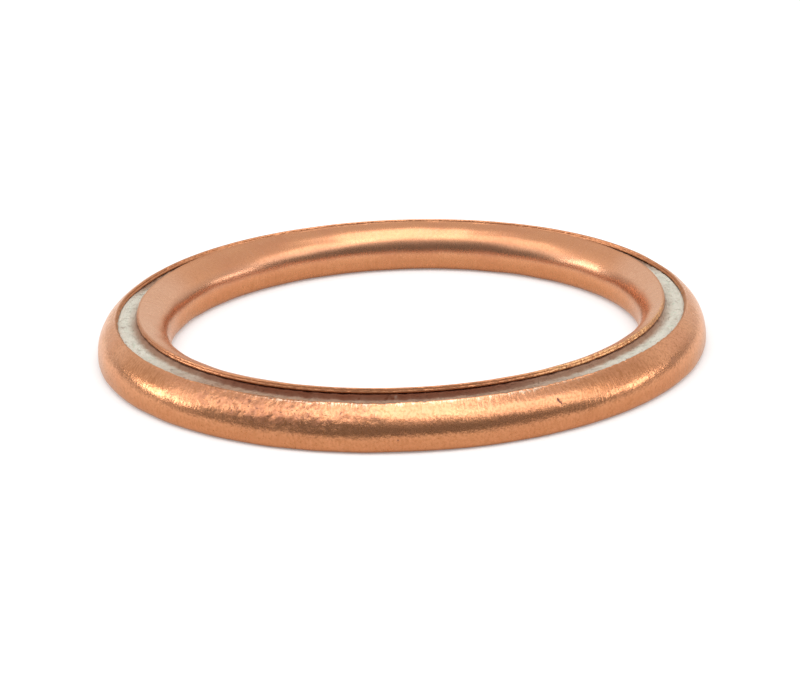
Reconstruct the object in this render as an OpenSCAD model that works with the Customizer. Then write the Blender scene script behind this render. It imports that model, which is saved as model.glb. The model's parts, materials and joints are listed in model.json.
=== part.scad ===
// Filled sealing ring: a folded copper sheet jacket round a pressed fibre ring.
// It lies on its closed face, with its axis on Z and its open seam on top.

/* [Ring] */
// Diameter of the bore
bore_d = 18.5; // [6:0.1:60]
// Width of the section, from the bore wall to the outer wall
section_w = 2.75; // [2.4:0.05:4]
// Height from the closed face to the crest of the inner lip
height = 1.95; // [1.8:0.05:3]

/* [Sheet] */
// Thickness of the copper sheet
sheet_t = 0.2; // [0.12:0.01:0.26]
// Inside radius of the fold under the bore wall
inner_fold_r = 0.2; // [0.1:0.01:0.4]
// Inside radius of the fold under the outer wall
outer_fold_r = 0.08; // [0.06:0.01:0.24]

/* [Inner lip] */
// Inside radius of the shoulder above the bore wall
inner_shoulder_r = 0.95; // [0.6:0.05:1.1]
// Reach of the lip, from the bore wall to its cut edge
inner_lip_reach = 1.1; // [0.95:0.05:1.4]
// Slope at which the lip rises to its cut edge, in degrees
inner_lip_slope = 18; // [5:1:25]

/* [Outer lip] */
// Inside radius of the shoulder above the outer wall
outer_shoulder_r = 1.2; // [0.9:0.05:1.25]
// Reach of the lip, from the outer wall to its cut edge
outer_lip_reach = 0.8; // [0.5:0.05:0.9]
// Depth of the lip's cut edge below the crest of the inner lip
outer_lip_drop = 0.22; // [0.05:0.01:0.3]

/* [Filler] */
// Clearance between the filler and the walls of the jacket
filler_clearance = 0.03; // [0.01:0.01:0.05]
// Depth of the filler's flat top below the undersides of the shoulders
filler_depth = 0.1; // [0.03:0.01:0.3]
// Rise of the filler between the two lips
filler_bulge = 0.06; // [0.02:0.01:0.12]

/* [Hidden] */
$fn = 240;

bore_r = bore_d / 2;
outer_r = bore_r + section_w;

// The inner lip is a straight flange that leaves its shoulder at the lip's slope.
inner_bend_r = inner_shoulder_r + sheet_t;
inner_lip_run = inner_lip_reach - inner_bend_r * (1 - sin(inner_lip_slope));
inner_lip_rise = inner_lip_run * tan(inner_lip_slope);
inner_lip_length = inner_lip_run / cos(inner_lip_slope);
inner_shoulder_z = height - inner_lip_rise - inner_bend_r * cos(inner_lip_slope);

// The outer lip is the rolled shoulder itself, which ends at this angle from the wall.
outer_bend_r = outer_shoulder_r + sheet_t;
outer_roll = acos(1 - outer_lip_reach / outer_bend_r);
outer_shoulder_z = height - outer_lip_drop - outer_bend_r * sin(outer_roll);

// The filler is pressed flat below the shoulders and swells between the lips' cut edges.
filler_top = min(inner_shoulder_z + inner_shoulder_r, outer_shoulder_z + outer_shoulder_r) - filler_depth;
swell_from = bore_r + inner_lip_reach;
swell_to = outer_r - outer_bend_r + outer_shoulder_r * cos(outer_roll) - filler_clearance;
swell_w = swell_to - swell_from;
swell_r = swell_w * swell_w / (8 * filler_bulge) + filler_bulge / 2;

// Sheet bent round the origin, kept where the two turned quadrants overlap
module bend(inside_r, first_turn, second_turn) {
    intersection() {
        difference() {
            circle(inside_r + sheet_t);
            circle(inside_r);
        }
        rotate(first_turn) square(section_w);
        rotate(second_turn) square(section_w);
    }
}

// Straight wall at X = 0, with its fold below and its shoulder above
module wall(fold_r, shoulder_r, shoulder_z, shoulder_turn) {
    bend_r = fold_r + sheet_t;
    translate([bend_r, bend_r]) bend(fold_r, 180, 180);
    translate([0, bend_r]) square([sheet_t, shoulder_z - bend_r]);
    translate([shoulder_r + sheet_t, shoulder_z]) bend(shoulder_r, 90, shoulder_turn);
}

// Straight flange that ends the inner shoulder
module inner_flange() {
    translate([inner_bend_r, inner_shoulder_z])
        rotate(inner_lip_slope)
            translate([0, inner_shoulder_r]) square([inner_lip_length, sheet_t]);
}

// Flat closed face between the two folds
module closed_face() {
    face_from = bore_r + inner_fold_r + sheet_t;
    face_to = outer_r - outer_fold_r - sheet_t;
    translate([face_from, 0]) square([face_to - face_from, sheet_t]);
}

// Section of the sheet, from the inner lip round the closed face to the outer lip
module jacket_section() {
    closed_face();
    translate([bore_r, 0]) {
        wall(inner_fold_r, inner_shoulder_r, inner_shoulder_z, 90 + inner_lip_slope);
        inner_flange();
    }
    translate([outer_r, 0])
        mirror([1, 0])
            wall(outer_fold_r, outer_shoulder_r, outer_shoulder_z, 180 - outer_roll);
}

// Quarter disc in a quadrant turned from +X and +Y
module quarter_disc(radius, turn) {
    intersection() {
        circle(radius);
        rotate(turn) square(section_w);
    }
}

// Room for the filler beside a wall at X = 0, over its fold and under its shoulder
module room_beside(fold_r, shoulder_r, shoulder_z) {
    bend_r = fold_r + sheet_t;
    inset = sheet_t + filler_clearance;
    translate([bend_r, bend_r]) quarter_disc(fold_r - filler_clearance, 180);
    translate([bend_r, inset]) square([section_w, bend_r - inset]);
    translate([inset, bend_r]) square([section_w, shoulder_z - bend_r]);
    translate([shoulder_r + sheet_t, shoulder_z]) {
        quarter_disc(shoulder_r - filler_clearance, 90);
        square([section_w, shoulder_r - filler_clearance]);
    }
}

// Swell of the filler in the open seam, from mid-height up
module swell() {
    intersection() {
        translate([(swell_from + swell_to) / 2, filler_top + filler_bulge - swell_r]) circle(swell_r);
        translate([swell_from, height / 2]) square([swell_w, height]);
    }
}

// Section of the filler, lowered by its clearance to rest on the floor of the jacket
module filler_section() {
    translate([0, -filler_clearance]) {
        intersection() {
            translate([bore_r, 0]) square([section_w, filler_top]);
            translate([bore_r, 0]) room_beside(inner_fold_r, inner_shoulder_r, inner_shoulder_z);
            translate([outer_r, 0])
                mirror([1, 0])
                    room_beside(outer_fold_r, outer_shoulder_r, outer_shoulder_z);
        }
        swell();
    }
}

// Folded copper sheet, open along the seam on top
module copper_jacket() {
    color([0.80, 0.50, 0.36])
        rotate_extrude() jacket_section();
}

// Pressed grey fibre ring inside the jacket
module fibre_filler() {
    color([0.79, 0.77, 0.71])
        rotate_extrude() filler_section();
}

copper_jacket();
fibre_filler();
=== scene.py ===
"""Dressed model of a filled copper sealing ring.

A folded copper sheet holds a pressed fibre ring. The sheet, the fibre and its loose hairs are meshes built
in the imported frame. They get procedural finishes and lie on a pale floor in soft studio light.
"""

import json
import logging
import math
from dataclasses import dataclass
from enum import Enum
from typing import Any, Union

import bpy
import numpy as np
from mathutils import Matrix, Quaternion, Vector


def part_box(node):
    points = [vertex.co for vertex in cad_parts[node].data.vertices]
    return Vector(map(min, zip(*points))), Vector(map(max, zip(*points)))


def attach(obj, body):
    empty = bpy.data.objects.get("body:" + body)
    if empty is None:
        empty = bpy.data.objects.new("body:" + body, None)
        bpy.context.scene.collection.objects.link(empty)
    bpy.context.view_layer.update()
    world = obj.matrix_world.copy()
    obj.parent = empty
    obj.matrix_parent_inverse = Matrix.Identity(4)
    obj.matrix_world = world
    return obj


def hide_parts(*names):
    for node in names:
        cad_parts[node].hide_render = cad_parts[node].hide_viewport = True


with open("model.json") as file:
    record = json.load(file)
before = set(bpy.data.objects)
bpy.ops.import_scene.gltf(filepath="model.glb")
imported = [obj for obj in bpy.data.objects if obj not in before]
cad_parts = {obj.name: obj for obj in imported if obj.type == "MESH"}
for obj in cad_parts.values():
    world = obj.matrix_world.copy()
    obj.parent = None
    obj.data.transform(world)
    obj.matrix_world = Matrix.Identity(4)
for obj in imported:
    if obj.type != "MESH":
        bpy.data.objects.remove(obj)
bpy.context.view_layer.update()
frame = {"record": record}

MM = 0.001
IMAGE_WIDTH, IMAGE_HEIGHT = 800, 675

# Numbers of a Mix node's colour sockets: its two inputs and its output
MIX_FIRST, MIX_SECOND, MIX_RESULT = 6, 7, 2
# Number of waves in a ripple, and the range of their lengths about the typical one
WAVES = 56
WAVE_RANGE = (0.7, 1.5)
# Energy of an area light of one square metre whose face has a radiance of 1
LAMP_ENERGY = 4.0
# Columns of an outline's table: radius and height, way out of the material, way ahead, and length so far
PLACE, OUT, AHEAD, ALONG = slice(0, 2), slice(2, 4), slice(4, 6), 6

Array = np.ndarray
Material, Object = bpy.types.Material, bpy.types.Object
Colour = tuple[float, float, float]
Term = Union["Value", float, tuple]

log = logging.getLogger("sealing_ring")


class Value:
    """One output socket of a node tree, with shader maths as Python operators."""

    def __init__(self, graph: "Graph", socket: bpy.types.NodeSocket) -> None:
        """Keep the socket and the graph that it belongs to."""
        self.graph = graph
        self.socket = socket

    def __add__(self, other: Term) -> "Value":
        """Sum of two values."""
        return self.graph.math("ADD", self, other)

    __radd__ = __add__

    def __sub__(self, other: Term) -> "Value":
        """This value less the other."""
        return self.graph.math("SUBTRACT", self, other)

    def __rsub__(self, other: Term) -> "Value":
        """The other value less this one."""
        return self.graph.math("SUBTRACT", other, self)

    def __mul__(self, other: Term) -> "Value":
        """Product of two values."""
        return self.graph.math("MULTIPLY", self, other)

    __rmul__ = __mul__

    def __truediv__(self, other: Term) -> "Value":
        """This value over the other."""
        return self.graph.math("DIVIDE", self, other)

    def at_most(self, other: Term) -> "Value":
        """The lesser of two values."""
        return self.graph.math("MINIMUM", self, other)

    def at_least(self, other: Term) -> "Value":
        """The greater of two values."""
        return self.graph.math("MAXIMUM", self, other)

    def step(self, low: float, high: float) -> "Value":
        """Rise smoothly from 0 at low to 1 at high, which may be below low."""
        return self.graph.node("MapRange", {0: self, 1: low, 2: high}, interpolation_type="SMOOTHSTEP")


class Graph:
    """A node tree that is filled from Python expressions."""

    def __init__(self, owner: bpy.types.ID) -> None:
        """Take the tree of a material or a world, and empty it.

        Args:
            owner: Material or world that gets the nodes.
        """
        owner.use_nodes = True
        self.tree = owner.node_tree
        self.tree.nodes.clear()

    def node(self, kind: str, inputs: dict[Any, Term], output: Any = 0, **settings: Any) -> Value:
        """Add one node.

        Args:
            kind: Type name of the node, after its first part ShaderNode.
            inputs: Value or link for each socket, by its name or number.
            output: Name or number of the socket that is returned.
            settings: Attributes of the node, which are set before its sockets.

        Returns:
            The chosen output socket.
        """
        made = self.tree.nodes.new("ShaderNode" + kind)
        for name, setting in settings.items():
            setattr(made, name, setting)
        for key, term in inputs.items():
            socket = made.inputs[key]
            if isinstance(term, Value):
                self.tree.links.new(term.socket, socket)
            else:
                socket.default_value = (*term, 1.0) if socket.type == "RGBA" else term
        return Value(self, made.outputs[output])

    def end(self, kind: str, surface: Value) -> None:
        """Link a shader to the output node of a material or a world."""
        made = self.tree.nodes.new("ShaderNodeOutput" + kind)
        self.tree.links.new(surface.socket, made.inputs["Surface"])

    def math(self, operation: str, *terms: Term) -> Value:
        """Add one Math node."""
        return self.node("Math", dict(enumerate(terms)), operation=operation)

    def vector(self, operation: str, *terms: Term, output: str = "Vector") -> Value:
        """Add one Vector Math node."""
        return self.node("VectorMath", dict(enumerate(terms)), output, operation=operation)

    def split(self, vector: Value) -> tuple[Value, ...]:
        """Part a vector into its three values."""
        made = self.node("SeparateXYZ", {0: vector}).socket.node
        return tuple(Value(self, socket) for socket in made.outputs)

    def join(self, x: Term, y: Term, z: Term) -> Value:
        """Make a vector of three values."""
        return self.node("CombineXYZ", {0: x, 1: y, 2: z})

    def layers(self, colour: Term, *coats: tuple[Term, Colour]) -> Term:
        """Lay colours over a first one, in order.

        Args:
            colour: The first colour.
            coats: Share from 0 to 1 and colour of each coat over it.

        Returns:
            The mixed colour.
        """
        for share, coat in coats:
            sockets = {0: share, MIX_FIRST: colour, MIX_SECOND: coat}
            colour = self.node("Mix", sockets, MIX_RESULT, data_type="RGBA")
        return colour

    def noise(self, place: Value, scale: float, detail: float = 2.0, roughness: float = 0.5) -> Value:
        """Soft noise about 0.5, with a number of waves to each unit of the place."""
        sockets = {"Vector": place, "Scale": scale, "Detail": detail, "Roughness": roughness}
        return self.node("TexNoise", sockets)

    def attribute(self, name: str) -> Value:
        """Read a value that the mesh holds at its points."""
        return self.node("Attribute", {}, "Fac", attribute_name=name)

    def millimetres(self) -> Value:
        """Place on the piece in millimetres, in the frame of the part."""
        place = self.node("TexCoord", {}, "Object")
        return self.vector("MULTIPLY", place, (1 / MM, 1 / MM, 1 / MM))


def new_object(name: str, data: bpy.types.ID) -> Object:
    """Make an object and put it in the scene.

    Args:
        name: Name of the object.
        data: Its mesh, light or camera.

    Returns:
        The new object.
    """
    made = bpy.data.objects.new(name, data)
    bpy.context.scene.collection.objects.link(made)
    return made


def new_piece(name: str, points: Array, faces: Array, body: str) -> Object:
    """Make a smooth mesh piece that rides on a body.

    Args:
        name: Name of the piece.
        points: One row for each point, in millimetres.
        faces: One row of point numbers for each face.
        body: Body that it rides on.

    Returns:
        The new object.
    """
    mesh = bpy.data.meshes.new(name)
    mesh.from_pydata((points * MM).tolist(), [], faces.tolist())
    mesh.shade_smooth()
    mesh.update()
    piece = new_object(name, mesh)
    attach(piece, body)
    return piece


def set_point_values(piece: Object, **values: Array) -> None:
    """Store named values at the points of a mesh.

    Args:
        piece: Piece that gets the values.
        values: Values of all its points, or of one section where they are the same at each angle.
    """
    for name, value in values.items():
        layer = piece.data.attributes.new(name, "FLOAT", "POINT")
        layer.data.foreach_set("value", np.resize(value, len(layer.data)).astype(np.float32))


def smooth(value: Array, low: float | Array, high: float | Array) -> Array:
    """Rise smoothly from 0 at low to 1 at high, which may be below low."""
    share = np.clip((value - low) / (high - low), 0, 1)
    return share * share * (3 - 2 * share)


def turn_from(angle: Array, degrees: float) -> Array:
    """Angle from a place on the ring, in degrees between -180 and 180."""
    return (np.degrees(angle) - degrees + 180) % 360 - 180


@dataclass(frozen=True)
class Sector:
    """A part of the way round the ring, with soft ends.

    Attributes:
        middle: Place of its middle, in degrees from +X.
        end: Angle from the middle at which it has faded out, in degrees.
        whole: Angle from the middle up to which it is whole, in degrees.
    """

    middle: float
    end: float
    whole: float

    def share(self, angle: Array, waver: float | Array = 0.0) -> Array:
        """Share of the sector at each angle, with its ends moved in by a waver in degrees."""
        return smooth(np.abs(turn_from(angle, self.middle)) + waver, self.end, self.whole)


# Parts of the ring where the copper differs
BACK = Sector(92.0, 80.0, 66.0)
PATCH = Sector(-113.0, 26.0, 8.0)
BURRED = Sector(-88.0, 42.0, 22.0)
TORN = Sector(-38.0, 30.0, 12.0)
# Browner streaks: painted shade of a darker reflection, with smudges
SMEARED_AND_SHADED = (Sector(-47.0, 15.0, 4.0), Sector(-147.0, 13.0, 4.0))
# Parts of the ring where the fibre differs
SUNK = Sector(-92.0, 62.0, 25.0)
# Where painted shade darkens the fibre under the inner lip
TARNISHED_AND_SHADED = Sector(-100.0, 48.0, 20.0)
# Where painted shade browns the fibre in the groove at the front
DUSTY_AND_SHADED = Sector(-97.0, 60.0, 28.0)
NEAR_HALF = Sector(-95.0, 100.0, 65.0)
FRAYED = Sector(17.0, 22.0, 8.0)


@dataclass(frozen=True)
class Ripple:
    """A seeded sum of waves that closes on itself round the ring.

    Attributes:
        seed: Seed of the random draws.
        wavelength: Typical length of a wave, in millimetres.
        height: Spread of the waves about 0.
        stretch: How many times longer the waves are across the section than round the ring.
    """

    seed: int
    wavelength: float
    height: float
    stretch: float = 1.0

    def sample(self, radius: float, angle: Array, along: float | Array = 0.0) -> Array:
        """Height of the ripple at each place.

        Args:
            radius: Radius at which the wavelength holds, in millimetres.
            angle: Angles in radians.
            along: Places across the section, in millimetres.

        Returns:
            One height for each place.
        """
        draw = np.random.default_rng(self.seed)
        heading = draw.uniform(0, math.tau, WAVES)
        number = math.tau / (self.wavelength * draw.uniform(*WAVE_RANGE, WAVES))
        phase = draw.uniform(0, math.tau, WAVES)
        turns = np.rint(number * np.cos(heading) * radius)
        climbs = number * np.sin(heading) / self.stretch
        total = np.zeros(np.broadcast(angle, along).shape)
        for turn, climb, start in zip(turns, climbs, phase):
            total += np.cos(turn * angle + climb * along + start)
        return self.height * (total * math.sqrt(2 / WAVES))


@dataclass(frozen=True)
class Stretch:
    """One stretch of a section's outline, straight or bent to the left.

    Attributes:
        length: Length of a straight stretch, in millimetres.
        radius, sweep: Radius of a bend in millimetres, and its angle in degrees.
        spacing: Widest step between mesh rows, in millimetres.
    """

    length: float = 0.0
    radius: float = 0.0
    sweep: float = 0.0
    spacing: float = 0.1


def trace_outline(
    start: tuple[float, float], heading_deg: float, stretches: tuple[Stretch, ...], coarse: float = 1.0
) -> Array:
    """Follow a section's outline, with the material on the left.

    Args:
        start: Radius and height of the first point, in millimetres.
        heading_deg: Direction of the first stretch, in degrees from +radius towards +height.
        stretches: Straight and bent stretches, in order.
        coarse: Factor on the spacing of each stretch.

    Returns:
        One row for each point, with the columns PLACE, OUT, AHEAD and ALONG.
    """
    at = np.array(start)
    heading = math.radians(heading_deg)
    gone = 0.0
    rows = []
    for stretch in stretches:
        sweep = math.radians(stretch.sweep)
        length = stretch.length + stretch.radius * sweep
        count = max(1, math.ceil(length / (stretch.spacing * coarse)))
        centre = at + stretch.radius * np.array([-math.sin(heading), math.cos(heading)])
        for share in np.arange(count + 1) / count:
            turned = heading + share * sweep
            ahead = np.array([math.cos(turned), math.sin(turned)])
            out = np.array([ahead[1], -ahead[0]])
            at = centre + stretch.radius * out + share * stretch.length * ahead
            rows.append((*at, *out, *ahead, gone + share * length))
        heading += sweep
        gone += length
        last = rows.pop()
    return np.array([*rows, last])


def ring_angles(count: int, crowding: float) -> Array:
    """Column of angles round the ring in radians, crowded at the front by a share of their step."""
    even = np.linspace(0, math.tau, count, endpoint=False)
    return (even - crowding * np.cos(even))[:, None]


def ring_grid(angle: Array, radius: Array, height: Array) -> tuple[Array, Array]:
    """Points and faces of an outline that is closed on itself and swept round the ring.

    Args:
        angle: Angles round the ring, as one column.
        radius: Radius of each point, one row for each angle.
        height: Height of each point, one row for each angle.

    Returns:
        The points and the four-sided faces.
    """
    points = np.stack([radius * np.cos(angle), radius * np.sin(angle), height], axis=-1).reshape(-1, 3)
    rows, columns = radius.shape
    here = np.arange(rows * columns).reshape(rows, columns)
    ahead = np.roll(here, -1, axis=0)
    faces = np.stack([here, ahead, np.roll(ahead, -1, axis=1), np.roll(here, -1, axis=1)], axis=-1)
    return points, faces.reshape(-1, 4)


class MarkKind(Enum):
    """What a mark on the copper is, with the share of stain in it."""

    NICK = 0.95
    SPOT = 0.6
    SMUDGE = 0.3
    SCRATCH = 0.1


@dataclass(frozen=True)
class Mark:
    """One mark on the outside of the copper.

    Attributes:
        kind: What the mark is.
        turn: Place round the ring, in degrees from +X.
        along: Place along the sheet from the inner lip, in millimetres.
        wide, tall: Half widths round the ring and along the sheet, in millimetres.
        tilt: Turn of the mark on the surface, in degrees.
        depth: Depth of the dent, in millimetres.
    """

    kind: MarkKind
    turn: float
    along: float
    wide: float
    tall: float
    tilt: float = 0.0
    depth: float = 0.0

    def spread(self, angle: Array, along: Array, radius: float) -> Array:
        """Measure how far places lie from the mark.

        Args:
            angle: Angles in radians.
            along: Places along the sheet, in millimetres.
            radius: Radius at which the half widths hold, in millimetres.

        Returns:
            Squared distances from the middle of the mark, where 1 is its half width.
        """
        across = np.radians(turn_from(angle, self.turn)) * radius
        up = along - self.along
        cosine, sine = math.cos(math.radians(self.tilt)), math.sin(math.radians(self.tilt))
        wide = (across * cosine + up * sine) / self.wide
        tall = (up * cosine - across * sine) / self.tall
        return wide**2 + tall**2


MARKS = (
    Mark(MarkKind.NICK, -61.75, 6.27, 0.045, 0.085, tilt=15, depth=0.022),
    Mark(MarkKind.NICK, -61.40, 6.16, 0.040, 0.075, tilt=35, depth=0.020),
    Mark(MarkKind.SMUDGE, -31.0, 6.08, 0.19, 0.12),
    Mark(MarkKind.SPOT, -103.7, 6.90, 0.10, 0.04),
    Mark(MarkKind.SPOT, -109.2, 6.97, 0.07, 0.03),
    Mark(MarkKind.SPOT, -101.3, 6.50, 0.035, 0.08, tilt=-25),
    Mark(MarkKind.SPOT, -119.1, 6.67, 0.08, 0.06, tilt=15),
    Mark(MarkKind.SPOT, -122.0, 6.70, 0.05, 0.04),
    Mark(MarkKind.SPOT, -115.1, 6.93, 0.07, 0.03),
    Mark(MarkKind.SPOT, -91.3, 5.52, 0.04, 0.03),
    Mark(MarkKind.SPOT, -77.8, 6.30, 0.03, 0.03),
    Mark(MarkKind.SCRATCH, -33.6, 6.42, 0.014, 0.13, tilt=14, depth=0.004),
    Mark(MarkKind.SCRATCH, -35.2, 6.50, 0.012, 0.10, tilt=-8, depth=0.003),
    Mark(MarkKind.SCRATCH, -146.0, 6.44, 0.13, 0.018, tilt=8, depth=0.004),
    Mark(MarkKind.SCRATCH, -95.5, 5.79, 0.09, 0.014, tilt=6, depth=0.004),
)


@dataclass(frozen=True)
class CopperFinish:
    """Satin rolled copper with grain, drawing lines, tarnish and stains, and painted highlights and shade.

    Attributes:
        clean: Colour of the clean metal.
        rosy: Its redder clouds and drawing lines.
        pale: Lighter crowns, and the inner lip at the left and right: painted highlight, partly bright
            wear.
        burr_glint: Painted glints along the ragged outer lip at the front.
        glint: Painted glints, bright grains on the inner lip's edge at the front right.
        edge_tint: Tint of the metal where it is seen at a glancing angle.
        brown: Darker brown towards the foot of the walls, partly tarnish and partly painted shade; also in
            the grain, and in the smudges and painted shade of the smears.
        shade: Painted shade, a dull line round the middle of the bore that tones down the copper's
            reflections of itself.
        worn: Dull parts of the pitted patch.
        stain: Marks and pits.
        cut: Bare cut edges.
        roughness: Roughness of the clean metal.
        grain, grain_depth: Size and depth of the grain, in millimetres.
    """

    clean: Colour = (0.77, 0.352, 0.177)
    rosy: Colour = (0.685, 0.284, 0.147)
    pale: Colour = (0.85, 0.48, 0.31)
    burr_glint: Colour = (0.95, 0.70, 0.52)
    glint: Colour = (0.96, 0.57, 0.27)
    edge_tint: Colour = (0.97, 0.915, 0.83)
    brown: Colour = (0.43, 0.165, 0.062)
    shade: Colour = (0.40, 0.255, 0.19)
    worn: Colour = (0.40, 0.165, 0.12)
    stain: Colour = (0.16, 0.07, 0.06)
    cut: Colour = (0.58, 0.25, 0.12)
    roughness: float = 0.25
    grain: float = 0.095
    grain_depth: float = 0.0045

    def material(self) -> Material:
        """Build the finish as a material.

        Returns:
            The new material.
        """
        made = bpy.data.materials.new("satin_copper")
        graph = Graph(made)
        place = graph.millimetres()
        x, y, z = graph.split(place)
        reach = graph.vector("LENGTH", graph.join(x, y, 0.0), output="Value")
        names = ("along", "mottle", "burr", "edge", "smear")
        along, mottle, burr, edge, smear = map(graph.attribute, names)
        marks = graph.attribute("mark_near").step(0.25, 0.65) * graph.attribute("mark_share")
        way_x, way_y = x / reach, y / reach
        mean_radius, change_along = 12.0, 0.16
        drawn = graph.join(way_x * mean_radius, way_y * mean_radius, along * change_along)

        clouds = graph.noise(place, 0.55, detail=3.0)
        grain = graph.noise(place, 1 / self.grain, detail=1.0, roughness=0.6)
        lines = graph.noise(drawn, 13.0, roughness=0.6)
        blots = graph.noise(place, 3.2, detail=5.0, roughness=0.62)
        flecks = graph.noise(place, 7.0, detail=4.0, roughness=0.6)
        specks = graph.noise(place, 10.0)
        streaks = 0.6 * lines + 0.4 * grain

        crown = z.step(0.95, 1.6)
        foot = z.step(1.05, 0.4)
        drawn_in = reach.step(10.7, 10.3)
        throat = reach.step(10.0, 9.6) * z.step(0.7, 1.0) * z.step(1.5, 1.2)
        sides = (way_x * way_x).step(0.75, 0.93)
        front_right = x.step(3.5, 6.5) * y.step(-0.5, -3.0)
        # Painted highlight: the crowns and the inner lip at the sides are made paler, partly for bright
        # wear
        rubbed = crown * (0.08 + 0.9 * sides * drawn_in + 0.35 * lines.step(0.48, 0.75))
        worn = mottle * (0.6 * blots + 0.4 * flecks).step(0.44, 0.60)
        pitted = (specks + 0.12 * mottle).step(0.74, 0.79)
        colour = graph.layers(
            self.clean,
            (clouds.step(0.42, 0.72) * 0.7, self.rosy),
            (rubbed, self.pale),
            # Painted shade with tarnish: browner and darker towards the foot of the walls
            (foot * (0.45 + 0.5 * blots), self.brown),
            # Painted shade: a dull band round the middle of the bore
            (throat * 0.45, self.shade),
            (worn * 0.5, self.worn),
            (pitted * (0.15 + 0.55 * mottle), self.stain),
            ((lines - 0.5) * 0.9 + 0.12, self.rosy),
            ((grain - 0.5) * (2.0 - 1.5 * drawn_in) + 0.12, self.brown),
            # Painted shade with smudges: browner streaks on the front shoulders, in place of a darker
            # reflection
            (smear * (0.28 + 0.5 * lines.step(0.38, 0.68)), self.brown),
            # Painted highlight: pale glints along the outer lip's edge at the front
            (burr * streaks.step(0.46, 0.56), self.burr_glint),
            (edge * (0.75 - 0.7 * grain.step(0.48, 0.70)), self.cut),
            # Painted highlight: glints on the inner lip's edge at the front right
            (edge * drawn_in * front_right * streaks.step(0.42, 0.56) * 0.9, self.glint),
            (marks, self.stain),
        )

        rough = self.roughness + 0.03 * drawn_in + 0.05 * edge + 0.08 * (clouds - 0.5)
        rough = rough + 0.12 * (grain - 0.5) + 0.14 * worn + 0.10 * pitted * mottle + 0.25 * marks
        height = (1.1 - 0.98 * drawn_in + 2.4 * edge) * grain + (1.6 - 1.25 * drawn_in) * lines
        height = height + mottle * (6.0 * blots + 2.2 * flecks - 1.5 * pitted)
        bump = graph.node("Bump", {"Distance": self.grain_depth * MM, "Height": height})
        sockets = {
            "Base Color": colour,
            "Metallic": 1.0,
            "Specular Tint": self.edge_tint,
            "Roughness": rough.at_least(0.08),
            "Normal": bump,
        }
        graph.end("Material", graph.node("BsdfPrincipled", sockets))
        return made


@dataclass(frozen=True)
class FibreFinish:
    """Matte pressed fibre, off-white with greenish and brownish flecks.

    Attributes:
        pale: Colour of the clean fibre.
        grey: Its darker clouds and specks.
        green: Greenish flecks.
        dust_and_shade: Brown of a dusting of copper, and painted shade in the groove at the front, by the
            inner lip and by the outer lip at the back.
        rust_and_shade: Painted shade under the inner lip, with tarnish, and brownish flecks.
        nap: Depth of its fine roughness, in millimetres.
    """

    pale: Colour = (0.64, 0.61, 0.522)
    grey: Colour = (0.46, 0.44, 0.37)
    green: Colour = (0.48, 0.57, 0.44)
    dust_and_shade: Colour = (0.345, 0.198, 0.127)
    rust_and_shade: Colour = (0.17, 0.05, 0.023)
    nap: float = 0.02

    def material(self, name: str, lift: float) -> Material:
        """Build the finish as a material.

        Args:
            name: Name of the material.
            lift: Share by which the darker clouds and specks are left out.

        Returns:
            The new material.
        """
        made = bpy.data.materials.new(name)
        graph = Graph(made)
        place = graph.millimetres()
        clouds = graph.noise(place, 1.6, detail=4.0, roughness=0.6)
        fine = graph.noise(place, 14.0, detail=3.0, roughness=0.65)
        flecks = graph.noise(place, 6.0, detail=1.0)
        uneven = 0.75 + 0.5 * clouds
        dusty = graph.attribute("dusty") * uneven
        rubbed = graph.attribute("rubbed") * uneven + flecks.step(0.32, 0.26) * 0.35
        colour = graph.layers(
            self.pale,
            (clouds.step(0.45, 0.75) * 0.5 * (1 - lift), self.grey),
            (fine.step(0.52, 0.72) * 0.55 * (1 - lift), self.grey),
            (flecks.step(0.64, 0.72) * 0.6, self.green),
            # Painted shade with a dusting of copper: brown in the groove at the front, by the inner lip and
            # by the outer lip at the back
            (dusty.at_most(0.95), self.dust_and_shade),
            # Painted shade: dark brown under the inner lip, deepest at the front
            (rubbed.at_most(0.95), self.rust_and_shade),
        )
        bump = graph.node("Bump", {"Strength": 0.8, "Distance": self.nap * MM, "Height": fine})
        sockets = {"Base Color": colour, "Roughness": 0.92, "Specular IOR Level": 0.2, "Normal": bump}
        graph.end("Material", graph.node("BsdfPrincipled", sockets))
        return made


@dataclass(frozen=True)
class RingSizes:
    """Main sizes of the ring, in millimetres.

    Attributes:
        bore, outer: Radii of the bore wall and the outer wall.
        height: Height of the inner lip's crest.
        sheet: Thickness of the copper sheet.
    """

    bore: float
    outer: float
    height: float
    sheet: float = 0.2

    @classmethod
    def from_frame(cls) -> "RingSizes":
        """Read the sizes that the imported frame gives.

        Returns:
            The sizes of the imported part.
        """
        _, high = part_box("copper_jacket")
        bore = next(mount for mount in frame["record"]["mounts"] if mount["name"] == "bore")
        return cls(bore["dims"]["r_mm"], high.x / MM, high.z / MM)


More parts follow.
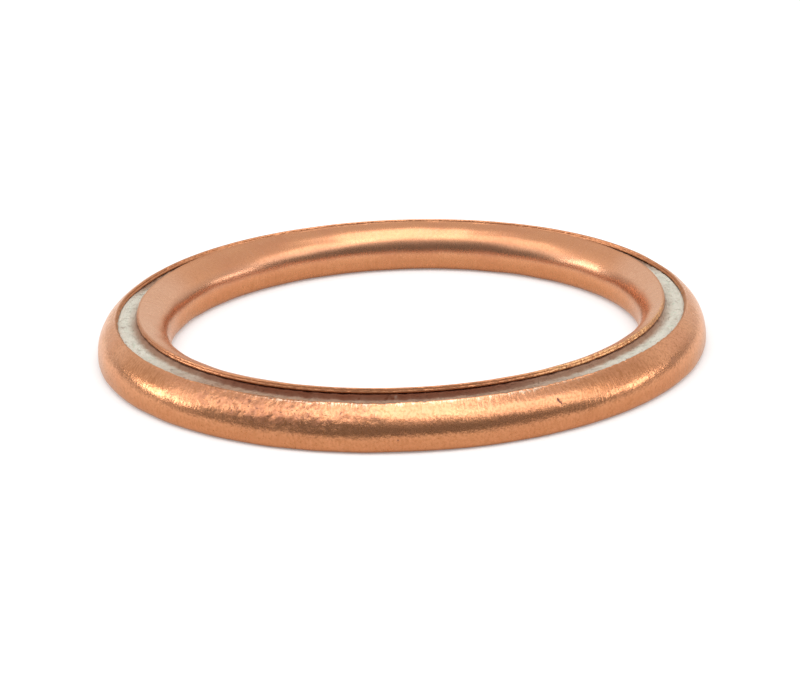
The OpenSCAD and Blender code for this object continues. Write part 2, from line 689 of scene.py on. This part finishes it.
@dataclass(frozen=True)
class CutEdge:
    """Profile of a sheared sheet edge: rounded corners and a step where the shear tore.

    Attributes:
        points: Share of the thickness from the outside, and how far the edge stands back there, in
            millimetres.
    """

    points: tuple[tuple[float, float], ...] = (
        (0.0, 0.034), (0.03, 0.012), (0.11, 0.001), (0.30, 0.0), (0.45, 0.002),
        (0.52, 0.010), (0.60, 0.003), (0.80, 0.0), (0.93, 0.006), (1.0, 0.034),
    )

    @property
    def round_off(self) -> float:
        """Length of the rounded corner along the sheet, in millimetres."""
        return self.points[0][1]

    def clear(self, outline: Array) -> Array:
        """Rows of an outline between the rounded corners at its ends."""
        along = outline[:, ALONG]
        return outline[(along > self.round_off) & (along < along[-1] - self.round_off)]

    def across(self, end: Array, side: int, sheet: float) -> Array:
        """Rows across one cut edge, from the outside of the sheet to its inside.

        Args:
            end: Row of the outline at this end of the sheet.
            side: 1 where the outline ends, and -1 where it starts.
            sheet: Thickness of the sheet, in millimetres.

        Returns:
            One row for each point, with the way out facing away from the sheet.
        """
        share, back = np.array(self.points).T
        rows = np.tile(end, (len(share), 1))
        rows[:, OUT] = side * end[AHEAD]
        rows[:, PLACE] -= np.outer(share * sheet, end[OUT]) + np.outer(back, side * end[AHEAD])
        return rows


@dataclass
class CopperJacket:
    """The folded copper sheet, with its two lips and the open seam between them.

    Places along the sheet are measured on its outside from the inner lip's edge, in millimetres.

    Attributes:
        ring: Main sizes of the ring.
        inner_fold, outer_fold: Outside radii of the folds under the two walls, in millimetres.
        inner_shoulder, outer_shoulder: Outside radii of the shoulders above the two walls.
        inner_reach, outer_reach: Reach of each lip from its wall.
        inner_slope: Slope of the inner lip, in degrees.
        outer_drop: Depth of the outer lip's edge below the crest.
        bore_offset: How far the bore was pressed off centre, towards +X.
        back_reach: How much further the outer lip was rolled over at the back.
        columns: Mesh columns round the ring.
    """

    ring: RingSizes
    inner_fold: float = 0.4
    outer_fold: float = 0.28
    inner_shoulder: float = 1.22
    outer_shoulder: float = 1.5
    inner_reach: float = 1.1
    outer_reach: float = 0.8
    inner_slope: float = 18.0
    outer_drop: float = 0.22
    bore_offset: float = 0.13
    back_reach: float = 0.18
    columns: int = 900

    def __post_init__(self) -> None:
        """Work out the flange of the inner lip, the roll of the outer lip and the tops of the two walls."""
        slope = math.radians(self.inner_slope)
        flange_run = self.inner_reach - self.inner_shoulder * (1 - math.sin(slope))
        flange_rise = flange_run * math.tan(slope)
        self.flange_length = flange_run / math.cos(slope)
        self.inner_top = self.ring.height - flange_rise - self.inner_shoulder * math.cos(slope)
        self.outer_roll = math.acos(1 - self.outer_reach / self.outer_shoulder)
        lip_top = self.ring.height - self.outer_drop
        self.outer_top = lip_top - self.outer_shoulder * math.sin(self.outer_roll)

    def outline(self, coarse: float = 1.0) -> Array:
        """Follow the outside of the sheet, from the crest of the inner lip to the edge of the outer lip.

        Args:
            coarse: Factor on the spacing of each stretch.

        Returns:
            The table of the outline.
        """
        ring = self.ring
        face = ring.outer - self.outer_fold - ring.bore - self.inner_fold
        stretches = (
            Stretch(length=self.flange_length),
            Stretch(radius=self.inner_shoulder, sweep=90 - self.inner_slope, spacing=0.08),
            Stretch(length=self.inner_top - self.inner_fold, spacing=0.12),
            Stretch(radius=self.inner_fold, sweep=90, spacing=0.09),
            Stretch(length=face, spacing=0.4),
            Stretch(radius=self.outer_fold, sweep=90, spacing=0.07),
            Stretch(length=self.outer_top - self.outer_fold),
            Stretch(radius=self.outer_shoulder, sweep=math.degrees(self.outer_roll), spacing=0.075),
        )
        crest = (ring.bore + self.inner_reach, ring.height)
        return trace_outline(crest, 180 + self.inner_slope, stretches, coarse)

    def section(self) -> tuple[Array, Array, Array]:
        """Closed section of the sheet.

        Returns:
            The rows of its points, and at each point 1 on the outside of the sheet and 1 on a cut edge.
        """
        edge, sheet = CutEdge(), self.ring.sheet
        outside = self.outline()
        inside = self.outline(coarse=4.0)
        inside[:, PLACE] -= sheet * inside[:, OUT]
        runs = (
            edge.clear(outside),
            edge.across(outside[-1], 1, sheet),
            edge.clear(inside)[::-1],
            edge.across(outside[0], -1, sheet)[::-1],
        )
        counts = [len(run) for run in runs]
        skin = np.repeat([1.0, 0.0, 0.0, 0.0], counts)
        cut = np.repeat([0.0, 1.0, 0.0, 1.0], counts)
        return np.concatenate(runs), skin, cut

    def mottle(self, angle: Array, along: Array) -> Array:
        """Share of the worn, pitted patch on the front of the outer shoulder."""
        waver = Ripple(31, 2.4, 6.0).sample(self.ring.outer, angle, along)
        return PATCH.share(angle, waver) * smooth(along, 5.8, 6.15)

    def dents(self, angle: Array, along: Array, mottle: Array) -> Array:
        """Height of the skin against the outline: broad dents, a fine ripple and the patch's pits.

        Args:
            angle: Angles in radians.
            along: Places along the sheet.
            mottle: Share of the pitted patch at each place.

        Returns:
            Heights in millimetres, none of them above 0.
        """
        place, mean_depth = (self.ring.outer, angle, along), 0.012
        fine = 1 - 0.65 * smooth(along, 3.6, 2.6)
        dent = Ripple(11, 2.4, 0.0045, stretch=0.7).sample(*place)
        dent = dent + fine * Ripple(12, 0.3, 0.001).sample(*place)
        dent = dent + mottle * Ripple(13, 0.34, 0.006).sample(*place)
        return np.minimum(dent - mean_depth, 0.0)

    def lip_shift(self, angle: Array, along: Array) -> Array:
        """Shift along the sheet at the ragged lips, and where the outer lip is rolled further over.

        Args:
            angle: Angles in radians.
            along: Places along the sheet.

        Returns:
            Shifts in millimetres.
        """
        place, length, ragged, rolled = (self.ring.outer, angle), along.max(), 0.35, 0.9
        inner = Ripple(21, 4.0, 0.010).sample(*place)
        inner = inner + (1 + 1.5 * TORN.share(angle)) * Ripple(22, 0.3, 0.004).sample(*place)
        rim = Ripple(23, 3.0, 0.012).sample(*place)
        rim = rim + (1 + 1.5 * BURRED.share(angle)) * Ripple(24, 0.25, 0.007).sample(*place)
        shift = np.abs(inner) * smooth(along, ragged, 0.0)
        shift = shift - np.abs(rim) * smooth(along, length - ragged, length)
        return shift + self.back_reach * BACK.share(angle) * smooth(along, length - rolled, length)

    def lean(self, along: Array) -> Array:
        """Shift towards +X at each place along the sheet, whole on the bore wall and none at the lip."""
        return self.bore_offset * smooth(along, 0.1, 1.3) * smooth(along, 4.2, 2.8)

    def build(self) -> Object:
        """Build the sheet as one closed mesh.

        Returns:
            The new piece, which stands for its node.
        """
        section, skin, cut = self.section()
        angle = ring_angles(self.columns, crowding=0.42)
        along = section[None, :, ALONG]
        outer, length = self.ring.outer, along.max()
        mottle = self.mottle(angle, along) * skin
        dent = self.dents(angle, along, mottle)
        mark_near = np.zeros_like(dent)
        mark_share = np.zeros_like(dent)
        for mark in MARKS:
            spread = mark.spread(angle, along, outer)
            near = np.clip(1 - spread / 2.5, 0, 1)
            dent = dent - mark.depth * np.exp(-spread)
            mark_share = np.where(near > mark_near, mark.kind.value, mark_share)
            mark_near = np.maximum(near, mark_near)

        # Painted highlight: pale glints along the front of the outer lip
        flaked = np.clip(0.5 + Ripple(26, 0.5, 0.5).sample(outer, angle), 0, 1.2)
        burr = skin * BURRED.share(angle) * smooth(along, length - 0.10 - 0.16 * flaked, length - 0.04)
        # Browner streaks on the front shoulders: smudges, and painted shade of a darker reflection
        smear = skin * sum(part.share(angle) for part in SMEARED_AND_SHADED) * smooth(along, 6.0, 6.25)
        smear = smear * (0.4 + 0.6 * smooth(along, length, length - 0.45))
        (flat_radius, flat_height), out, ahead = section[:, PLACE].T, section[:, OUT].T, section[:, AHEAD].T
        tears = (1 + TORN.share(angle)) * Ripple(25, 0.16, 0.007).sample(outer, angle, flat_height)
        push = dent * skin - np.abs(tears) * cut
        shift = self.lip_shift(angle, along)
        radius = flat_radius + push * out[0] + shift * ahead[0]
        height = flat_height + push * out[1] + shift * ahead[1]
        points, faces = ring_grid(angle, radius, np.maximum(height, 0.0))
        points[:, 0] += np.tile(self.lean(section[:, ALONG]), self.columns)
        piece = new_piece("copper_sheet", points, faces, "root")
        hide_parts("copper_jacket")
        set_point_values(piece, along=along, edge=cut, mottle=mottle, burr=burr, smear=smear)
        set_point_values(piece, mark_near=mark_near * skin, mark_share=mark_share)
        return piece

    def dress(self, piece: Object, finish: CopperFinish) -> None:
        """Give the sheet its finish."""
        piece.data.materials.append(finish.material())


@dataclass
class FibreFiller:
    """The pressed fibre ring in the jacket, rough where the seam shows it.

    Attributes:
        jacket: The copper sheet that holds the fibre.
        clearance: Room between the fibre and the walls, in millimetres.
        depth: Depth of its flat top below the highest point of the room under the outer shoulder.
        bulge, lip_swell: Rise over its flat top midway between the lips, and under the inner lip's edge.
        columns: Mesh columns round the ring.
        hairs: Loose hairs in the seam.
    """

    jacket: CopperJacket
    clearance: float = 0.03
    depth: float = 0.138
    bulge: float = 0.06
    lip_swell: float = 0.25
    columns: int = 1500
    hairs: int = 900

    def __post_init__(self) -> None:
        """Work out the room inside the jacket."""
        ring, jacket, lip_press = self.jacket.ring, self.jacket, 0.012
        outside = jacket.outline()
        self.slope = math.radians(jacket.inner_slope)
        self.inner_lip = outside[0, PLACE][0]
        self.outer_lip = outside[-1, PLACE][0] - ring.sheet * outside[-1, OUT][0]
        self.lip_foot = ring.height - ring.sheet / math.cos(self.slope) + lip_press
        self.inner_wall = ring.bore + ring.sheet + self.clearance
        self.outer_wall = ring.outer - ring.sheet - self.clearance
        self.round_off = jacket.outer_shoulder - ring.sheet - self.clearance
        self.flat_top = jacket.outer_top + self.round_off - self.depth

    def past_inner(self, radius: Array, low: float | Array, high: float) -> Array:
        """Rise from 0 to 1 between two distances out from the inner lip's edge."""
        return smooth(radius, self.inner_lip + low, self.inner_lip + high)

    def short_of_outer(self, radius: Array, low: float | Array, high: float | Array) -> Array:
        """Rise from 0 to 1 between two distances in from the outer lip's edge."""
        return smooth(radius, self.outer_lip - low, self.outer_lip - high)

    def sink(self, angle: Array, radius: Array) -> Array:
        """How far the fibre was pressed down at the front and, clear of the outer lip, at the back."""
        back = 0.10 * BACK.share(angle) * self.short_of_outer(radius, 0.1, 0.3)
        return (0.05 * SUNK.share(angle) + back) * self.past_inner(radius, 0.05, 0.2)

    def fleck(self, angle: Array, radius: Array) -> Array:
        """Share of the clean fleck that shows through the painted shade at the front."""
        across = np.radians(turn_from(angle, -91.6)) * radius
        return 0.5 * np.exp(-((across / 0.06) ** 2) - ((radius - self.inner_lip - 0.115) / 0.022) ** 2)

    def rubbed(self, angle: Array, radius: Array) -> Array:
        """Share of dark colour on the fibre, deepest under the inner lip at the front: painted shade with
        tarnish.
        """
        front, clean = TARNISHED_AND_SHADED.share(angle), self.fleck(angle, radius)
        return self.past_inner(radius, 0.16 + 0.16 * front, 0.06) * (0.3 + 0.65 * front) * (1 - clean)

    def dusty(self, angle: Array, radius: Array) -> Array:
        """Share of brown on the fibre: a dusting of copper, and painted shade at the front, by the inner
        lip, and by the outer lip at the back.

        Args:
            angle: Angles in radians.
            radius: Radii in millimetres.

        Returns:
            One share for each place.
        """
        front = 0.9 * DUSTY_AND_SHADED.share(angle)
        back = BACK.share(angle) * self.short_of_outer(radius, 0.4, 0.2)
        by_lip = self.past_inner(radius, 0.45, 0.05) * (0.2 + 0.85 * NEAR_HALF.share(angle))
        return np.maximum(np.maximum(front, back), by_lip) * (1 - self.fleck(angle, radius))

    def surface(self, angle: Array, radius: Array) -> Array:
        """Height of the fibre's top.

        Args:
            angle: Angles in radians.
            radius: Radii in millimetres.

        Returns:
            Heights in millimetres.
        """
        past = np.clip(radius - (self.outer_wall - self.round_off), 0, self.round_off)
        press = 0.022
        room = self.jacket.outer_top + np.sqrt((self.round_off + press) ** 2 - past**2)
        middle = (self.inner_lip + self.outer_lip) / 2
        half = (self.outer_lip - self.inner_lip) / 2
        crown = np.clip(1 - ((radius - middle) / half) ** 2, 0, 1)
        swell = self.past_inner(radius, -0.25, -0.02) * self.past_inner(radius, 0.17, 0.05)
        rise = np.maximum(self.bulge * crown, self.lip_swell * swell)
        rise = np.maximum(rise, 0.025 * self.short_of_outer(radius, 0.2, 0.02))
        rough = Ripple(43, 0.5, 0.010).sample(middle, angle, radius)
        rough = rough + Ripple(44, 0.14, 0.007, stretch=0.6).sample(middle, angle, radius)
        bared = self.past_inner(radius, -0.3, 0.0) * self.short_of_outer(radius, 0.0, 0.08)
        top = np.minimum(room, self.flat_top + rise) + bared * np.clip(rough, -0.05, 0.03)
        top = top - self.sink(angle, radius)
        under_lip = self.lip_foot - (self.inner_lip - radius) * math.tan(self.slope)
        top = np.where(radius < self.inner_lip + 0.06, np.minimum(top, under_lip), top)

        frayed = FRAYED.share(angle)
        ragged = 0.02 + Ripple(41, 0.6, 0.025).sample(middle, angle)
        ragged = ragged + Ripple(42, 0.15, 0.018).sample(middle, angle)
        ragged = np.clip(ragged * (0.4 + 2.2 * frayed), 0.0, 0.16)
        return top - self.short_of_outer(radius, ragged + 0.03, ragged) * (0.005 + 0.035 * frayed)

    def build(self) -> Object:
        """Build the fibre ring as one closed mesh.

        Returns:
            The new piece, which stands for its node.
        """
        jacket, floor = self.jacket, self.jacket.ring.sheet
        inset = floor + self.clearance
        inner_round = jacket.inner_shoulder - inset
        inner_foot = jacket.inner_fold - inset
        outer_foot = jacket.outer_fold - inset
        inner_top = jacket.inner_top - self.clearance
        outer_top = jacket.outer_top - self.clearance
        inner_sweep = math.asin((self.flat_top - inner_top) / inner_round)
        start = (self.inner_wall + inner_round * (1 - math.cos(inner_sweep)), self.flat_top)
        stretches = (
            Stretch(radius=inner_round, sweep=math.degrees(inner_sweep), spacing=0.25),
            Stretch(length=inner_top - floor - inner_foot, spacing=0.4),
            Stretch(radius=inner_foot, sweep=90, spacing=0.09),
            Stretch(length=self.outer_wall - outer_foot - self.inner_wall - inner_foot, spacing=0.8),
            Stretch(radius=outer_foot, sweep=90, spacing=0.05),
            Stretch(length=outer_top - floor - outer_foot, spacing=0.4),
        )
        below = trace_outline(start, 270 - math.degrees(inner_sweep), stretches)
        under_outer = np.linspace(self.outer_wall - 0.02, self.outer_lip + 0.12, 7)
        bared = np.linspace(self.outer_lip + 0.06, self.inner_lip - 0.12, 34)
        under_inner = np.linspace(self.inner_lip - 0.18, start[0] + 0.06, 4)
        top = np.concatenate([under_outer, bared, under_inner])
        angle = ring_angles(self.columns, crowding=0.3)
        whole = np.ones((self.columns, 1))
        below_radius, below_height = below[:, PLACE].T
        radius = np.hstack([whole * below_radius, whole * top])
        height = np.hstack([whole * below_height, self.surface(angle, top[None, :])])
        points, faces = ring_grid(angle, radius, height)
        points[:, 0] += jacket.bore_offset * smooth(radius, self.inner_lip - 0.1, self.inner_wall).ravel()
        piece = new_piece("fibre_ring", points, faces, "root")
        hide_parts("fibre_filler")
        set_point_values(piece, rubbed=self.rubbed(angle, radius), dusty=self.dusty(angle, radius))
        return piece

    def build_hairs(self) -> Object:
        """Build the loose hairs that lie on the fibre in the seam.

        Returns:
            The new piece.
        """
        draw = np.random.default_rng(77)
        steps, sides = 7, 4
        share = np.linspace(-0.5, 0.5, steps)[:, None]
        column = (self.hairs, 1, 1)
        turn = draw.uniform(0, math.tau, column)
        middle = draw.uniform(self.inner_lip + 0.08, self.outer_lip - 0.10, column)
        length = draw.uniform(0.15, 0.55, column)
        slant = draw.normal(0, 0.5, column)
        curl = draw.normal(0, 0.6, column)
        thick = draw.uniform(0.004, 0.008, column)
        lift = draw.uniform(0.002, 0.012, column)
        heading = slant + curl * share
        across = (length * share) * np.sin(heading)
        radius = np.clip(middle + across, self.inner_lip + 0.04, self.outer_lip - 0.05)
        angle = turn + (length * share) * np.cos(heading) / radius
        height = self.surface(angle, radius) + lift * (1 - (2 * share) ** 2)
        taper = thick * (1 - 0.75 * (2 * share) ** 4)
        spin = np.arange(sides) * math.tau / sides
        wide = taper * np.cos(spin)
        tube_radius = radius + wide * np.cos(heading)
        tube_angle = angle - wide * np.sin(heading) / radius
        tube_height = height + taper * np.sin(spin)
        places = [tube_radius * np.cos(tube_angle), tube_radius * np.sin(tube_angle), tube_height]
        points = np.stack(places, axis=-1).reshape(-1, 3)
        here = np.arange(len(points)).reshape(self.hairs, steps, sides)
        beside = np.roll(here, -1, axis=2)
        walls = np.stack([here[:, :-1], here[:, 1:], beside[:, 1:], beside[:, :-1]], axis=-1).reshape(-1, 4)
        ends = np.concatenate([here[:, 0], here[:, -1, ::-1]])
        piece = new_piece("loose_hairs", points, np.concatenate([walls, ends]), "root")
        place = (tube_angle, tube_radius)
        set_point_values(piece, rubbed=self.rubbed(*place), dusty=self.dusty(*place))
        return piece

    def dress(self, ring: Object, hairs: Object, finish: FibreFinish) -> None:
        """Give the fibre ring and its hairs their finish."""
        ring.data.materials.append(finish.material("pressed_fibre", 0.0))
        hairs.data.materials.append(finish.material("loose_fibre", 0.7))


class LampShape(Enum):
    """Outline of a soft light."""

    RECTANGLE = "RECTANGLE"
    ELLIPSE = "ELLIPSE"


@dataclass(frozen=True)
class SoftLight:
    """An even soft light that faces the ring from one metre away.

    Attributes:
        name: Name of the light.
        shape: Its outline.
        azimuth: Direction from the ring, in degrees from behind it, positive to the right.
        elevation: Height above the horizon, in degrees.
        wide, tall: Width and height as the ring sees them, in degrees.
        turn: Turn of its outline on its face, in degrees.
        radiance: Brightness of its face, where 1 is white.
    """

    name: str
    shape: LampShape
    azimuth: float
    elevation: float
    wide: float
    tall: float
    turn: float
    radiance: float

    def build(self) -> None:
        """Add the light to the scene."""
        lamp = bpy.data.lights.new(self.name, "AREA")
        lamp.shape = self.shape.value
        lamp.size = 2 * math.tan(math.radians(self.wide / 2))
        lamp.size_y = 2 * math.tan(math.radians(self.tall / 2))
        area = lamp.size * lamp.size_y * (math.pi / 4 if self.shape is LampShape.ELLIPSE else 1)
        lamp.energy = LAMP_ENERGY * area * self.radiance
        around, rise = math.radians(self.azimuth), math.radians(self.elevation)
        way = Vector((math.sin(around) * math.cos(rise), math.cos(around) * math.cos(rise), math.sin(rise)))
        light = new_object(self.name, lamp)
        light.location = way
        light.rotation_mode = "QUATERNION"
        spin = Quaternion((0, 0, 1), math.radians(self.turn))
        light.rotation_quaternion = way.to_track_quat("Z", "Y") @ spin
        light.visible_camera = False


@dataclass
class Studio:
    """Pale floor, soft lights, a room that is dim on the camera's side, and the camera.

    Attributes:
        ring: Main sizes of the ring.
        distance: Distance from the camera to the middle of the ring, in metres.
        elevation: Height of the camera above the horizon, in degrees.
        roll: Turn of the camera about its view, in degrees.
        scale: Size of a millimetre at the middle of the ring, in pixels.
        ring_at: Pixel at which the middle of the ring appears.
        floor_reach, floor_colour: Radius of the floor in metres, and its colour.
        floor_glow: Light that the floor shows of itself to the camera and in mirrored views.
        lights: The soft lights.
    """

    ring: RingSizes
    distance: float = 0.110
    elevation: float = 18.83
    roll: float = -2.12
    scale: float = 25.28
    ring_at: tuple[float, float] = (401.1, 320.2)
    floor_reach: float = 3.0
    floor_colour: Colour = (0.78, 0.78, 0.78)
    floor_glow: float = 0.24
    lights: tuple[SoftLight, ...] = (
        SoftLight("overhead", LampShape.RECTANGLE, 180, 75, 37, 50, 0, 1.4),
        SoftLight("left_wing", LampShape.ELLIPSE, -111, 45, 62, 31, 43, 0.95),
        SoftLight("right_wing", LampShape.ELLIPSE, 122, 42, 58, 31, -37, 1.2),
        SoftLight("left_lamp", LampShape.ELLIPSE, -79, 14, 24, 8, 0, 5.2),
        SoftLight("right_lamp", LampShape.ELLIPSE, 88, 13, 26, 6, 0, 3.9),
    )

    def build_floor(self) -> None:
        """Lay the floor, which glows a little where the camera or a reflection shows it."""
        sides = 96
        turn = np.linspace(0, math.tau, sides, endpoint=False)
        rim = np.stack([np.cos(turn), np.sin(turn), 0 * turn], axis=-1) * self.floor_reach
        mesh = bpy.data.meshes.new("floor")
        mesh.from_pydata(rim.tolist(), [], [list(range(sides))])
        floor = new_object("floor", mesh)
        made = bpy.data.materials.new("pale_floor")
        graph = Graph(made)
        rays = ("Is Camera Ray", "Is Glossy Ray")
        seen, mirrored = (graph.node("LightPath", {}, ray) for ray in rays)
        glow = self.floor_glow * seen.at_least(mirrored)
        matte = graph.node("BsdfDiffuse", {"Color": self.floor_colour})
        shine = graph.node("Emission", {"Color": glow})
        graph.end("Material", graph.node("AddShader", {0: matte, 1: shine}))
        mesh.materials.append(made)

    def build_room(self) -> None:
        """Light the room: pale behind the ring, dim on the camera's side."""
        world = bpy.data.worlds.new("room")
        bpy.context.scene.world = world
        graph = Graph(world)
        _, y, z = graph.split(graph.node("TexCoord", {}, "Generated"))
        behind = 0.88 - 0.14 * z.step(0.4, 0.9)
        before = 0.22 + 0.5 * z.step(0.38, 0.84)
        near = y.step(0.25, -0.45).at_least(z.step(0.21, 0.12) * y.step(0.9, 0.5))
        level = behind + (before - behind) * near
        graph.end("World", graph.node("Background", {"Color": level}))

    def build_camera(self) -> None:
        """Place the camera at the photograph's viewing angle."""
        lens = bpy.data.cameras.new("camera")
        lens.sensor_fit = "HORIZONTAL"
        pixels = self.scale / MM * self.distance
        lens.lens = lens.sensor_width * pixels / IMAGE_WIDTH
        lens.clip_start = 0.001
        rise, roll = math.radians(self.elevation), math.radians(self.roll)
        middle = Vector((0, 0, self.ring.height / 2 * MM))
        back = Vector((0, -math.cos(rise), math.sin(rise)))
        place = middle + back * self.distance
        level_right = Vector((1, 0, 0))
        level_up = back.cross(level_right)
        right = math.cos(roll) * level_right + math.sin(roll) * level_up
        up = math.cos(roll) * level_up - math.sin(roll) * level_right
        aside = (self.ring_at[0] - IMAGE_WIDTH / 2) / pixels
        above = (IMAGE_HEIGHT / 2 - self.ring_at[1]) / pixels
        look = (-back - right * aside - up * above).normalized()
        right = (right - look * right.dot(look)).normalized()
        up = right.cross(look)
        turn = Matrix((right, up, -look)).transposed().to_4x4()
        camera = new_object("camera", lens)
        camera.matrix_world = Matrix.Translation(place) @ turn
        bpy.context.scene.camera = camera

    def build(self) -> None:
        """Build the floor, the room, the lights and the camera."""
        self.build_floor()
        self.build_room()
        for light in self.lights:
            light.build()
        self.build_camera()
        bpy.context.scene.view_settings.view_transform = "Standard"


def report(piece: Object) -> None:
    """Log the name and the number of triangles of a piece."""
    piece.data.calc_loop_triangles()
    log.info("%s: %d triangles", piece.name, len(piece.data.loop_triangles))


def main() -> None:
    """Build and dress the sealing ring, then set the studio."""
    logging.basicConfig(level=logging.INFO, format="%(name)s: %(message)s")
    ring = RingSizes.from_frame()
    jacket = CopperJacket(ring)
    sheet = jacket.build()
    jacket.dress(sheet, CopperFinish())
    report(sheet)
    filler = FibreFiller(jacket)
    fibre = filler.build()
    hairs = filler.build_hairs()
    filler.dress(fibre, hairs, FibreFinish())
    report(fibre)
    report(hairs)
    Studio(ring).build()


if __name__ == "__main__":
    main()
